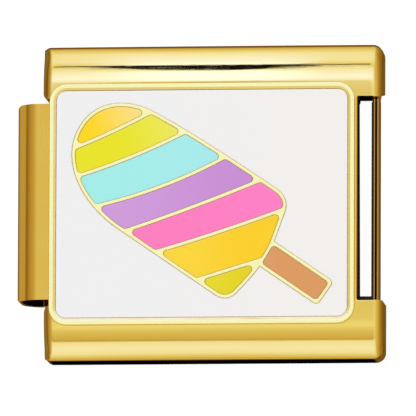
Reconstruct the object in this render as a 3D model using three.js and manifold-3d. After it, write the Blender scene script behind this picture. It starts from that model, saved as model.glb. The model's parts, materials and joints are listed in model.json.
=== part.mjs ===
// A modular bracelet link with an enamelled face. The picture on the face is a striped ice pop.
// Millimetres. X runs along the bracelet, Y across it and Z out of the face. The link lies on its
// back, and the origin is on the surface under it, at the middle of its box.

import * as THREE from "three";
import { mergeVertices } from "three/addons/utils/BufferGeometryUtils.js";
import Module from "manifold-3d";

// The whole link: the width is the standard one, and the rest is in proportion to it
const LINK_WIDTH = 9.0;
const SHELL_LENGTH = 9.66;
const HOOK_OVERHANG = 0.806; // how far the hook's nose stands past the shell's arms
const SHELL_LEFT = -(SHELL_LENGTH + HOOK_OVERHANG) / 2 + HOOK_OVERHANG;
const SHELL_RIGHT = SHELL_LEFT + SHELL_LENGTH;
const FIT_GAP = 0.02; // between pieces that touch

// Shell: a folded sheet, crowned across the bracelet, with an arm along each long side
const WALL_LOW = 0.91;
const WALL_TOP = 1.75;
const SHOULDER_RADIUS = 0.24; // where the side wall turns into the crown
const SHOULDER_END = THREE.MathUtils.degToRad(40); // the crown's slope there
const LAND_EDGE = THREE.MathUtils.degToRad(3); // the crown's slope at the flat land under the face
const LAND_HALF_WIDTH = 3.4;
const END_ROUND = 0.2;
const SHELL_ROOF = 1.98; // underside of the sheet over the hook
const CAVITY_HALF_WIDTH = 3.63;

// Notches between the arms: the hook comes out of one, the next link's hook enters the other
const LEFT_NOTCH = { floor: -4.16, low: -2.94, high: 2.95, round: 0.22 };
const RIGHT_NOTCH = { floor: 4.47, low: -2.85, high: 2.96, round: 0.1 };

// Face plate: a tray with a rim, its enamels level with raised lines
const FACE_CENTRE = new THREE.Vector2(0.139, -0.09);
const FACE_SIZE = new THREE.Vector2(8.69, 6.89);
const FACE_CORNER = 0.5;
const RIM_WIDTH = 0.2;
const RIM_CORNER = 0.28;
const TRAY_LOW = 2.362;
const TRAY_FLOOR = 2.4;
const RIM_TOP = 2.48;
const ENAMEL_TOP = 2.46;
const ENAMEL_GAP = 0.008;

// Ice pop picture, in a frame along its length, tilted about the face's centre
const POP_TILT = THREE.MathUtils.degToRad(-35);
const LINE_HALF = 0.047;
const STRIPE_REACH = 2.6;
const BOW_SPAN = 1.85;
const STRIPES = [
  { at: -3.41, lean: 59, bow: 0.08 },
  { at: -2.38, lean: 57, bow: 0.09 },
  { at: -1.05, lean: 56.5, bow: 0.12 },
  { at: 0.01, lean: 55.5, bow: 0.03 },
  { at: 1.17, lean: 53.5, bow: 0.03 },
  { at: 2.6, lean: 52, bow: 0 },
];
const STICK = { start: 1.9, end: 4.33, low: -0.485, high: 0.25, round: 0.1, rise: 0.02 };

// Hook: one sheet that runs out from under the face, round a nose and back below
const HOOK = { low: 0.05, high: 1.95, sheet: 0.15, yLow: -2.73, yHigh: 2.865 };
const NOSE_REACH = 0.71; // from the flat front to the tip of the nose
const HOOK_TIP = SHELL_LEFT - HOOK_OVERHANG;
const HOOK_INNER_END = -2.5;
const RETURN_END = -4.3;
const NOSE_CHAMFER = 0.08;

// Core: the block that the shell is folded over, with the slot for the next link's hook
const CORE = { left: -4.14, right: 5.0, halfWidth: 4.15, round: 0.15, shelf: 0.88 };
const CORE_TOP = { right: 4.2, halfWidth: 3.6, z: 1.74 };
const LEDGE_TOP = 1.2;
const SLOT = { left: 4.526, right: 4.873, low: -2.625, high: 2.95 };

// End bar: the channel that the next link's hook closes round
const BAR = { left: 4.981, right: 5.125, top: 1.85, floor: 1.3, skirt: 1.05 };
const BAR_INNER_WALL = 0.037;
const BAR_OUTER_WALL = 0.052;
const BAR_SKIRT_GAP = 0.03;

const ARC_STEPS = 8;
const OUTLINE_STEPS = 14;

const wasm = await Module();
wasm.setup();

// Turns a closed three.js geometry into a solid that can be joined and cut
function solidOf(geometry) {
  const bare = geometry.clone();
  bare.deleteAttribute("normal");
  bare.deleteAttribute("uv");
  const merged = mergeVertices(bare, 1e-4);
  return new wasm.Manifold(
    new wasm.Mesh({
      numProp: 3,
      vertProperties: merged.attributes.position.array,
      triVerts: new Uint32Array(merged.index.array),
    }),
  );
}

// Turns a solid back into a geometry with its normals
function geometryOf(solid) {
  const mesh = solid.getMesh();
  const geometry = new THREE.BufferGeometry();
  geometry.setAttribute("position", new THREE.BufferAttribute(mesh.vertProperties, 3));
  geometry.setIndex(new THREE.BufferAttribute(mesh.triVerts, 1));
  geometry.computeVertexNormals();
  return geometry;
}

// A shape in the XY plane, raised from one height to another
function prism(shape, low, high) {
  const geometry = new THREE.ExtrudeGeometry(shape, {
    depth: high - low,
    bevelEnabled: false,
    curveSegments: ARC_STEPS,
  });
  return solidOf(geometry.translate(0, 0, low));
}

function block(xLow, xHigh, yLow, yHigh, zLow, zHigh) {
  const geometry = new THREE.BoxGeometry(xHigh - xLow, yHigh - yLow, zHigh - zLow);
  return solidOf(
    geometry.translate((xLow + xHigh) / 2, (yLow + yHigh) / 2, (zLow + zHigh) / 2),
  );
}

function roundedRectangle(xLow, xHigh, yLow, yHigh, radius) {
  const shape = new THREE.Shape();
  const quarter = Math.PI / 2;
  shape.absarc(xHigh - radius, yLow + radius, radius, -quarter, 0);
  shape.absarc(xHigh - radius, yHigh - radius, radius, 0, quarter);
  shape.absarc(xLow + radius, yHigh - radius, radius, quarter, 2 * quarter);
  shape.absarc(xLow + radius, yLow + radius, radius, 2 * quarter, 3 * quarter);
  return shape;
}

// Moves a closed outline, listed anticlockwise, outwards by a distance
function offsetOutline(points, distance) {
  const count = points.length;
  return points.map((point, i) => {
    const before = point.clone().sub(points[(i + count - 1) % count]).normalize();
    const after = points[(i + 1) % count].clone().sub(point).normalize();
    const along = before.clone().add(after).normalize();
    const outward = new THREE.Vector2(along.y, -along.x);
    const stretch = Math.sqrt((1 + before.dot(after)) / 2);
    return point.clone().addScaledVector(outward, distance / stretch);
  });
}

function outlinePrism(points, distance, low, high) {
  return prism(new THREE.Shape(offsetOutline(points, distance)), low, high);
}

// Shell section across the bracelet: a wall, a shoulder, the crown, and flat land under the face
function shellSection() {
  const half = LINK_WIDTH / 2;
  const shoulderWidth = SHOULDER_RADIUS * (1 - Math.sin(SHOULDER_END));
  const crownWidth = half - shoulderWidth - LAND_HALF_WIDTH;
  const crownRadius = crownWidth / (Math.sin(SHOULDER_END) - Math.sin(LAND_EDGE));
  const shoulderTop = WALL_TOP + SHOULDER_RADIUS * Math.cos(SHOULDER_END);
  const crownCentreY = LAND_HALF_WIDTH - crownRadius * Math.sin(LAND_EDGE);
  const crownCentreZ = shoulderTop - crownRadius * Math.cos(SHOULDER_END);
  const up = Math.PI / 2;
  const low = WALL_LOW - 2 * END_ROUND;
  const shape = new THREE.Shape();
  shape.moveTo(-half, low);
  shape.lineTo(half, low);
  shape.absarc(half - SHOULDER_RADIUS, WALL_TOP, SHOULDER_RADIUS, 0, up - SHOULDER_END);
  shape.absarc(crownCentreY, crownCentreZ, crownRadius, up - SHOULDER_END, up - LAND_EDGE);
  shape.absarc(-crownCentreY, crownCentreZ, crownRadius, up + LAND_EDGE, up + SHOULDER_END);
  shape.absarc(SHOULDER_RADIUS - half, WALL_TOP, SHOULDER_RADIUS, up + SHOULDER_END, 2 * up);
  return shape;
}

// The shell's section drawn along X, rounded over at both ends
function crownedBar() {
  const geometry = new THREE.ExtrudeGeometry(shellSection(), {
    depth: SHELL_LENGTH - 2 * END_ROUND,
    bevelEnabled: true,
    bevelThickness: END_ROUND,
    bevelSize: END_ROUND,
    bevelOffset: -END_ROUND,
    bevelSegments: 5,
    curveSegments: ARC_STEPS,
  });
  geometry.rotateX(Math.PI / 2).rotateZ(Math.PI / 2);
  return solidOf(geometry.translate(SHELL_LEFT + END_ROUND, 0, 0));
}

// What is cut away between two arms, with the arms' inner corners rounded
function notch({ floor, low, high, round }, end) {
  const side = Math.sign(end - floor);
  const mouth = end - side * round;
  const past = end + side;
  const quarter = Math.PI / 2;
  const shape = new THREE.Shape();
  shape.moveTo(floor, low);
  shape.lineTo(mouth, low);
  shape.absarc(mouth, low - round, round, quarter, side > 0 ? 0 : 2 * quarter, side > 0);
  shape.lineTo(past, low - round);
  shape.lineTo(past, high + round);
  shape.lineTo(end, high + round);
  shape.absarc(mouth, high + round, round, side > 0 ? 0 : -2 * quarter, -quarter, side > 0);
  shape.lineTo(floor, high);
  return prism(shape, 0, RIM_TOP);
}

function shell() {
  const cavity = block(
    SHELL_LEFT - 1,
    CORE_TOP.right + FIT_GAP,
    -CAVITY_HALF_WIDTH,
    CAVITY_HALF_WIDTH,
    0,
    SHELL_ROOF,
  );
  const armsKept = block(SHELL_LEFT - 1, LEFT_NOTCH.floor, -LINK_WIDTH, LINK_WIDTH, 0, RIM_TOP);
  const under = block(-LINK_WIDTH, LINK_WIDTH, -LINK_WIDTH, LINK_WIDTH, 0, WALL_LOW);
  return crownedBar()
    .subtract(under)
    .subtract(cavity.subtract(armsKept))
    .subtract(notch(LEFT_NOTCH, SHELL_LEFT))
    .subtract(notch(RIGHT_NOTCH, SHELL_RIGHT));
}

function core() {
  const { left, right, halfWidth, round, shelf } = CORE;
  const base = prism(roundedRectangle(left, right, -halfWidth, halfWidth, round), 0, shelf);
  const raised = block(
    left,
    CORE_TOP.right,
    -CORE_TOP.halfWidth,
    CORE_TOP.halfWidth,
    shelf - FIT_GAP,
    CORE_TOP.z,
  );
  const ledge = block(
    RIGHT_NOTCH.floor + FIT_GAP,
    right,
    RIGHT_NOTCH.low + FIT_GAP,
    RIGHT_NOTCH.high - FIT_GAP,
    shelf - FIT_GAP,
    LEDGE_TOP,
  );
  const slot = block(SLOT.left, SLOT.right, SLOT.low, SLOT.high, -1, RIM_TOP);
  return base.add(raised).add(ledge).subtract(slot);
}

// A channel open to the front, whose outer wall hangs down as a skirt over the core's edge
function endBar() {
  const low = LEDGE_TOP + FIT_GAP;
  const yLow = RIGHT_NOTCH.low + FIT_GAP;
  const yHigh = RIGHT_NOTCH.high - FIT_GAP;
  const body = block(BAR.left, BAR.right, yLow, yHigh, low, BAR.top);
  const groove = block(
    BAR.left + BAR_INNER_WALL,
    BAR.right - BAR_OUTER_WALL,
    yLow - 1,
    yHigh + 1,
    BAR.floor,
    BAR.top + 1,
  );
  const skirt = block(CORE.right + BAR_SKIRT_GAP, BAR.right, yLow, yHigh, BAR.skirt, BAR.floor);
  return body.subtract(groove).add(skirt);
}

// Section of the hook's sheet along X, from its inner end round the nose to the end of its return
function hookSection() {
  const middle = (HOOK.low + HOOK.high) / 2;
  const halfHeight = (HOOK.high - HOOK.low) / 2;
  const noseX = HOOK_TIP + NOSE_REACH;
  const up = Math.PI / 2;
  const inset = HOOK.sheet;
  const shape = new THREE.Shape();
  shape.moveTo(HOOK_INNER_END, HOOK.high - inset);
  shape.lineTo(HOOK_INNER_END, HOOK.high);
  shape.absellipse(noseX, middle, NOSE_REACH, halfHeight, up, 3 * up);
  shape.lineTo(RETURN_END, HOOK.low);
  shape.lineTo(RETURN_END, HOOK.low + inset);
  shape.absellipse(noseX, middle, NOSE_REACH - inset, halfHeight - inset, 3 * up, up, true);
  return shape;
}

// The corner of the nose that is trimmed off at one end of the hook
function noseTrim(y) {
  const reach = Math.sign(y) * NOSE_CHAMFER;
  const shape = new THREE.Shape();
  shape.moveTo(HOOK_TIP - NOSE_CHAMFER, y + reach);
  shape.lineTo(HOOK_TIP - NOSE_CHAMFER, y - 2 * reach);
  shape.lineTo(HOOK_TIP + 2 * NOSE_CHAMFER, y + reach);
  return prism(shape, -1, RIM_TOP);
}

function hook() {
  const geometry = new THREE.ExtrudeGeometry(hookSection(), {
    depth: HOOK.yHigh - HOOK.yLow,
    bevelEnabled: false,
    curveSegments: 2 * ARC_STEPS,
  });
  geometry.rotateX(Math.PI / 2).translate(0, HOOK.yHigh, 0);
  return solidOf(geometry).subtract(noseTrim(HOOK.yLow)).subtract(noseTrim(HOOK.yHigh));
}

function tiltPoint(along, across) {
  return new THREE.Vector2(along, across).rotateAround(new THREE.Vector2(), POP_TILT);
}

// The pop's outline along the middle of its raised line, anticlockwise
function popOutline() {
  const shape = new THREE.Shape();
  shape.moveTo(1.8, -1.87);
  shape.quadraticCurveTo(2.22, -1.86, 2.25, -1.45);
  shape.quadraticCurveTo(2.42, -0.5, 2.3, 0.19);
  shape.lineTo(2.07, 1.05);
  shape.quadraticCurveTo(1.99, 1.5, 1.5, 1.5);
  shape.quadraticCurveTo(-1.3, 1.47, -2.6, 1.32);
  shape.bezierCurveTo(-3.5, 1.22, -4.13, 0.65, -4.08, -0.15);
  shape.bezierCurveTo(-4.02, -1.2, -2.9, -1.88, -1.6, -1.9);
  return shape.getPoints(OUTLINE_STEPS).map((p) => tiltPoint(p.x, p.y));
}

// The stick's outline along the middle of its raised line, anticlockwise, starting inside the pop
function stickOutline() {
  const { start, end, low, high, round, rise } = STICK;
  const shape = new THREE.Shape();
  shape.moveTo(start, low);
  shape.lineTo(end - round, low + rise);
  shape.quadraticCurveTo(end, low + rise, end, low + rise + round);
  shape.lineTo(end, high - round);
  shape.quadraticCurveTo(end, high, end - round, high);
  shape.lineTo(start, high - rise);
  return shape.getPoints(ARC_STEPS / 2).map((p) => tiltPoint(p.x, p.y));
}

// A point on a stripe's line, a distance t along it and moved sideways towards the stick by shift
function stripePoint({ at, lean, bow }, t, shift) {
  const angle = THREE.MathUtils.degToRad(lean);
  const sideways = shift - bow * (t / BOW_SPAN) ** 2;
  const along = at + t * Math.cos(angle) + sideways * Math.sin(angle);
  const across = t * Math.sin(angle) - sideways * Math.cos(angle);
  return tiltPoint(along, across);
}

function stripeEdge(stripe, shift) {
  const points = [];
  for (let i = 0; i <= OUTLINE_STEPS; i += 1) {
    points.push(stripePoint(stripe, STRIPE_REACH * ((2 * i) / OUTLINE_STEPS - 1), shift));
  }
  return points;
}

// The band between two stripe lines, each edge moved into it by a margin
function stripeBand(from, to, margin, low, high) {
  const outline = [...stripeEdge(to, -margin), ...stripeEdge(from, margin).reverse()];
  return prism(new THREE.Shape(outline), low, high);
}

function stripeLine(stripe, low, high) {
  return stripeBand(stripe, stripe, -LINE_HALF, low, high);
}

// The tray of the face: floor, rim and the picture's raised lines in one piece
function faceTray() {
  const half = FACE_SIZE.clone().multiplyScalar(0.5);
  const inner = half.clone().subScalar(RIM_WIDTH);
  const plate = prism(
    roundedRectangle(-half.x, half.x, -half.y, half.y, FACE_CORNER),
    TRAY_LOW,
    RIM_TOP,
  );
  const well = prism(
    roundedRectangle(-inner.x, inner.x, -inner.y, inner.y, RIM_CORNER),
    TRAY_FLOOR,
    RIM_TOP + 1,
  );
  return plate.subtract(well).add(pictureLines(TRAY_FLOOR - FIT_GAP, RIM_TOP));
}

function pictureLines(low, high) {
  const pop = popOutline();
  const stick = stickOutline();
  const popOuter = outlinePrism(pop, LINE_HALF, low, high);
  const popInner = outlinePrism(pop, -LINE_HALF, low, high);
  const stickLine = outlinePrism(stick, LINE_HALF, low, high)
    .subtract(outlinePrism(stick, -LINE_HALF, low, high))
    .subtract(popInner);
  const stripes = STRIPES.map((stripe) => stripeLine(stripe, low, high));
  const dividers = stripes.reduce((all, line) => all.add(line)).intersect(popOuter);
  return popOuter.subtract(popInner).add(stickLine).add(dividers);
}

function whiteEnamel() {
  const inner = FACE_SIZE.clone().multiplyScalar(0.5).subScalar(RIM_WIDTH + ENAMEL_GAP);
  const low = TRAY_FLOOR + ENAMEL_GAP;
  const margin = LINE_HALF + ENAMEL_GAP;
  const field = prism(
    roundedRectangle(-inner.x, inner.x, -inner.y, inner.y, RIM_CORNER - ENAMEL_GAP),
    low,
    ENAMEL_TOP,
  );
  return field
    .subtract(outlinePrism(popOutline(), margin, 0, RIM_TOP))
    .subtract(outlinePrism(stickOutline(), margin, 0, RIM_TOP));
}

// One coloured cell of the pop, between the line before it and the line after it
function stripeEnamel(index) {
  const before = STRIPES[index - 1] ?? { ...STRIPES[0], at: STRIPES[0].at - 2 };
  const after = STRIPES[index] ?? { ...STRIPES[STRIPES.length - 1], at: STRIPE_REACH + 2 };
  const margin = LINE_HALF + ENAMEL_GAP;
  const low = TRAY_FLOOR + ENAMEL_GAP;
  const fill = outlinePrism(popOutline(), -margin, low, ENAMEL_TOP);
  return fill.intersect(stripeBand(before, after, margin, 0, RIM_TOP));
}

function stickEnamel() {
  const margin = LINE_HALF + ENAMEL_GAP;
  const low = TRAY_FLOOR + ENAMEL_GAP;
  const fill = outlinePrism(stickOutline(), -margin, low, ENAMEL_TOP);
  return fill.subtract(outlinePrism(popOutline(), margin, 0, RIM_TOP));
}

function metal(colour, roughness) {
  return new THREE.MeshStandardMaterial({ color: colour, metalness: 1, roughness });
}

function enamel(colour) {
  return new THREE.MeshStandardMaterial({ color: colour, metalness: 0, roughness: 0.12 });
}

function addPiece(group, name, solid, material) {
  const mesh = new THREE.Mesh(geometryOf(solid), material);
  mesh.name = name;
  group.add(mesh);
}

const GOLD = "#e3c25c";
const PALE_GOLD = "#f2e2a0";
const DARK_STEEL = "#2a2320";

const POP_COLOURS = [
  ["enamel_orange", "#ffd21e"],
  ["enamel_lime", "#ebe614"],
  ["enamel_cyan", "#a0ebeb"],
  ["enamel_lilac", "#cd96dc"],
  ["enamel_pink", "#ff78be"],
  ["enamel_yellow", "#fdd21e"],
  ["enamel_lime_tip", "#e6d714"],
];

const link = new THREE.Group();
addPiece(link, "shell", shell(), metal(GOLD, 0.12));
addPiece(link, "core", core(), metal(DARK_STEEL, 0.3));
addPiece(link, "end_bar", endBar(), metal(GOLD, 0.15));
addPiece(link, "hook", hook(), metal(GOLD, 0.15));

const face = new THREE.Group();
face.position.set(FACE_CENTRE.x, FACE_CENTRE.y, 0);
addPiece(face, "face_tray", faceTray(), metal(PALE_GOLD, 0.2));
addPiece(face, "enamel_white", whiteEnamel(), enamel("#f5f3f5"));
POP_COLOURS.forEach(([name, colour], index) => {
  addPiece(face, name, stripeEnamel(index), enamel(colour));
});
addPiece(face, "enamel_stick", stickEnamel(), enamel("#de9a62"));
link.add(face);

export default link;
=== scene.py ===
"""Dresses a modular bracelet link: its crowned gold shell, spring hook, end bar and enamelled face.

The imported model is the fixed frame. X runs along the bracelet, Y across it and Z out of the face. Shapes
are worked out in millimetres and handed over in metres.
"""

from __future__ import annotations

import json
import logging
import math
from dataclasses import dataclass, field
from enum import Enum
from typing import Callable, Iterable, Sequence

import bmesh
import bpy
from bmesh.types import BMEdge, BMesh as Shape, BMFace, BMVert
from bpy.types import Material, Mesh, Node, NodeSocket as Socket, NodeTree, Object as Thing
from mathutils import Matrix, Quaternion, Vector
from mathutils.geometry import interpolate_bezier, intersect_line_line_2d

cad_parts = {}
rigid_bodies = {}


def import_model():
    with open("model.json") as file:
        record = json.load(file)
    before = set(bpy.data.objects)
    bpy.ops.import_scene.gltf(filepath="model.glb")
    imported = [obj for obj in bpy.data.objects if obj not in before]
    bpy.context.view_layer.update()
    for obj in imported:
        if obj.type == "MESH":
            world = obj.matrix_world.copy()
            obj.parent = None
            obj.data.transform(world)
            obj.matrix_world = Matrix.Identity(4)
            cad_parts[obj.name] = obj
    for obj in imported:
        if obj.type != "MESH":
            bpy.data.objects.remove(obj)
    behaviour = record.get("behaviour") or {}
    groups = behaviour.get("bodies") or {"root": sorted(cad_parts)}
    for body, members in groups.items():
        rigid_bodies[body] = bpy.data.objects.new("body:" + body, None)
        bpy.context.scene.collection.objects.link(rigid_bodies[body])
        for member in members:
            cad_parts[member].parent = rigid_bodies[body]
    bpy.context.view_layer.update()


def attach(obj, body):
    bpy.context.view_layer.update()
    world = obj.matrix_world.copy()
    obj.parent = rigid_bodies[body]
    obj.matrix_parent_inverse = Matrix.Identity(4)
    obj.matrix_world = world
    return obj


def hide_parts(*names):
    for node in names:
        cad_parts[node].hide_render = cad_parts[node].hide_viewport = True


MM = 0.001
SHARP_ANGLE = math.radians(38)
SCRATCH_SCALE = (900.0, 26000.0, 26000.0)
LOG = logging.getLogger("bracelet_link")

Colour = tuple[float, float, float]
Pair = tuple[float, float]
Pairs = Sequence[Pair]
Outline = Sequence[Vector]


class Body(Enum):
    """The moving bodies of the link."""

    LINK = "link"
    HOOK = "hook"


class Axis(Enum):
    """A direction of the shared frame."""

    X = Vector((1, 0, 0))
    Y = Vector((0, 1, 0))
    Z = Vector((0, 0, 1))


# Mesh work


def share(value: float, low: float, high: float) -> float:
    """How far a value is between two bounds, from 0 to 1."""
    return min(max((value - low) / (high - low), 0), 1)


def only(items: Iterable, kind: type) -> list:
    """The items of one kind."""
    return [item for item in items if isinstance(item, kind)]


def added(name: str, data: object) -> Thing:
    """Makes an object and links it into the scene."""
    thing = bpy.data.objects.new(name, data)
    bpy.context.scene.collection.objects.link(thing)
    return thing


def opened(mesh: Mesh) -> Shape:
    """Opens a mesh for changes."""
    shape = bmesh.new()
    shape.from_mesh(mesh)
    return shape


def put_back(shape: Shape, mesh: Mesh) -> Mesh:
    """Writes a shape into a mesh and gives the mesh."""
    shape.to_mesh(mesh)
    shape.free()
    return mesh


def pull(shape: Shape, faces: Iterable, offset: Sequence[float], keep: bool = False) -> list:
    """Extrudes faces by an offset.

    Args:
        shape: The mesh.
        faces: The faces to extrude.
        offset: How far they move, in millimetres.
        keep: Whether the first faces stay, as the other end of what is extruded.

    Returns:
        The moved faces.
    """
    faces = list(faces)
    made = bmesh.ops.extrude_face_region(shape, geom=faces, use_keep_orig=True)["geom"]
    if not keep:
        bmesh.ops.delete(shape, geom=[face for face in faces if face.is_valid], context="FACES")
    bmesh.ops.translate(shape, vec=offset, verts=only(made, BMVert))
    return only(made, BMFace)


def score(shape: Shape, axis: Axis, places: Iterable[float]) -> None:
    """Cuts every face along planes across an axis, and keeps both sides.

    Args:
        shape: The mesh.
        axis: The axis that the planes stand across.
        places: Where they stand on it.
    """
    for place in places:
        everything = shape.verts[:] + shape.edges[:] + shape.faces[:]
        bmesh.ops.bisect_plane(
            shape, geom=everything, dist=1e-6, plane_co=axis.value * place, plane_no=axis.value
        )


def trim(shape: Shape, point: Sequence[float], outward: Sequence[float]) -> None:
    """Cuts off what lies beyond a plane and closes the cut.

    Args:
        shape: A closed mesh.
        point: A point on the plane.
        outward: The direction of what is cut off.
    """
    everything = shape.verts[:] + shape.edges[:] + shape.faces[:]
    bmesh.ops.bisect_plane(
        shape, geom=everything, dist=1e-6, plane_co=point, plane_no=outward, clear_outer=True
    )
    rim = [edge for edge in shape.edges if edge.is_boundary]
    bmesh.ops.holes_fill(shape, edges=rim, sides=0)


def drop(shape: Shape, unwanted: Callable[[Vector], bool]) -> None:
    """Deletes the faces whose middles meet a test.

    Args:
        shape: The mesh.
        unwanted: The test.
    """
    faces = [face for face in shape.faces if unwanted(face.calc_center_median())]
    bmesh.ops.delete(shape, geom=faces, context="FACES")


def flat_face(shape: Shape, outline: Outline, height: float) -> BMFace:
    """Makes one face from an outline.

    Args:
        shape: The mesh.
        outline: Its points, anticlockwise.
        height: The height that it lies at.

    Returns:
        The face.
    """
    return shape.faces.new([shape.verts.new((point.x, point.y, height)) for point in outline])


def rounded_rectangle(low: Vector, high: Vector, radius: float, steps: int = 12) -> list[Vector]:
    """The outline of a rectangle with round corners.

    Args:
        low: Its lowest corner.
        high: Its highest corner.
        radius: The corners' radius.
        steps: How many stretches a corner has.

    Returns:
        The points, anticlockwise.
    """
    centres = [
        Vector((high.x - radius, low.y + radius)),
        Vector((high.x - radius, high.y - radius)),
        Vector((low.x + radius, high.y - radius)),
        Vector((low.x + radius, low.y + radius)),
    ]
    outline = []
    for quarter, centre in enumerate(centres):
        for step in range(steps + 1):
            turn = math.pi / 2 * (quarter - 1 + step / steps)
            outline.append(centre + radius * Vector((math.cos(turn), math.sin(turn))))
    return outline


def settled(mesh: Mesh, dress: Callable[[Thing], None]) -> Mesh:
    """Puts modifiers on a mesh and applies them.

    Args:
        mesh: The mesh, in millimetres.
        dress: Adds the modifiers to a passing object.

    Returns:
        The changed mesh.
    """
    passing = added("passing", mesh)
    dress(passing)
    graph = bpy.context.evaluated_depsgraph_get()
    changed = bpy.data.meshes.new_from_object(passing.evaluated_get(graph), depsgraph=graph)
    bpy.data.objects.remove(passing)
    bpy.data.meshes.remove(mesh)
    return changed


def closed(mesh: Mesh) -> Mesh:
    """Merges points that lie together and fills what is left open, once a mesh's edges are rounded.

    Args:
        mesh: The mesh, in millimetres.

    Returns:
        The same mesh.
    """
    shape = opened(mesh)
    bmesh.ops.remove_doubles(shape, verts=shape.verts[:], dist=5e-4)
    bmesh.ops.dissolve_degenerate(shape, edges=shape.edges[:], dist=1e-4)
    open_edges = [edge for edge in shape.edges if len(edge.link_faces) == 1]
    bmesh.ops.holes_fill(shape, edges=open_edges, sides=8)
    bmesh.ops.recalc_face_normals(shape, faces=shape.faces[:])
    return put_back(shape, mesh)


def mesh_of(shape: Shape) -> Mesh:
    """Turns a finished shape into a mesh with its faces outwards."""
    bmesh.ops.recalc_face_normals(shape, faces=shape.faces[:])
    return put_back(shape, bpy.data.meshes.new("piece"))


def sweep(
    shape: Shape, head: BMVert, centre: Sequence[float], axis: Axis, turn: float, steps: int
) -> BMVert:
    """Draws an arc of edges on from a point.

    Args:
        shape: The mesh.
        head: The point.
        centre: The arc's centre.
        axis: The direction that it turns about.
        turn: How far it turns, in radians.
        steps: How many edges it has.

    Returns:
        The point at its end.
    """
    spun = bmesh.ops.spin(
        shape, geom=[head], cent=centre, axis=axis.value, angle=turn, steps=steps, use_merge=False
    )
    return only(spun["geom_last"], BMVert)[0]


@dataclass
class Edging:
    """Rounding that a piece's sharp edges get, in millimetres."""

    width: float = 0.02
    steps: int = 3
    by_weight: bool = False

    def bevel(self, passing: Thing) -> None:
        """Adds the rounding to an object."""
        rounding = passing.modifiers.new("edges", "BEVEL")
        rounding.width = self.width
        rounding.segments = self.steps
        rounding.limit_method = "WEIGHT" if self.by_weight else "ANGLE"
        rounding.angle_limit = SHARP_ANGLE
        rounding.use_clamp_overlap = not self.by_weight


def even_out(passing: Thing) -> None:
    """Lets large faces lead the shading, so that flats stay flat beside their round edges."""
    evening = passing.modifiers.new("shading", "WEIGHTED_NORMAL")
    evening.keep_sharp = True
    evening.weight = 60


@dataclass
class Piece:
    """A finished piece of the link."""

    name: str
    slot: str
    stands_for: tuple[str, ...]
    body: Body = Body.LINK

    def place(self, mesh: Mesh, material: Material) -> None:
        """Makes the piece's object, in metres, and ties it to the frame.

        Args:
            mesh: The mesh, in millimetres.
            material: Its finish.
        """
        for face in mesh.polygons:
            face.use_smooth = True
        mesh.set_sharp_from_angle(angle=SHARP_ANGLE)
        mesh = settled(mesh, even_out)
        mesh.transform(Matrix.Scale(MM, 4))
        mesh.name = self.name
        mesh.materials.clear()
        mesh.materials.append(material)
        piece = added(self.name, mesh)
        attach(piece, self.body.value)
        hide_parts(*self.stands_for)
        LOG.info("%s: %d faces", self.name, len(mesh.polygons))


# Finishes


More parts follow.
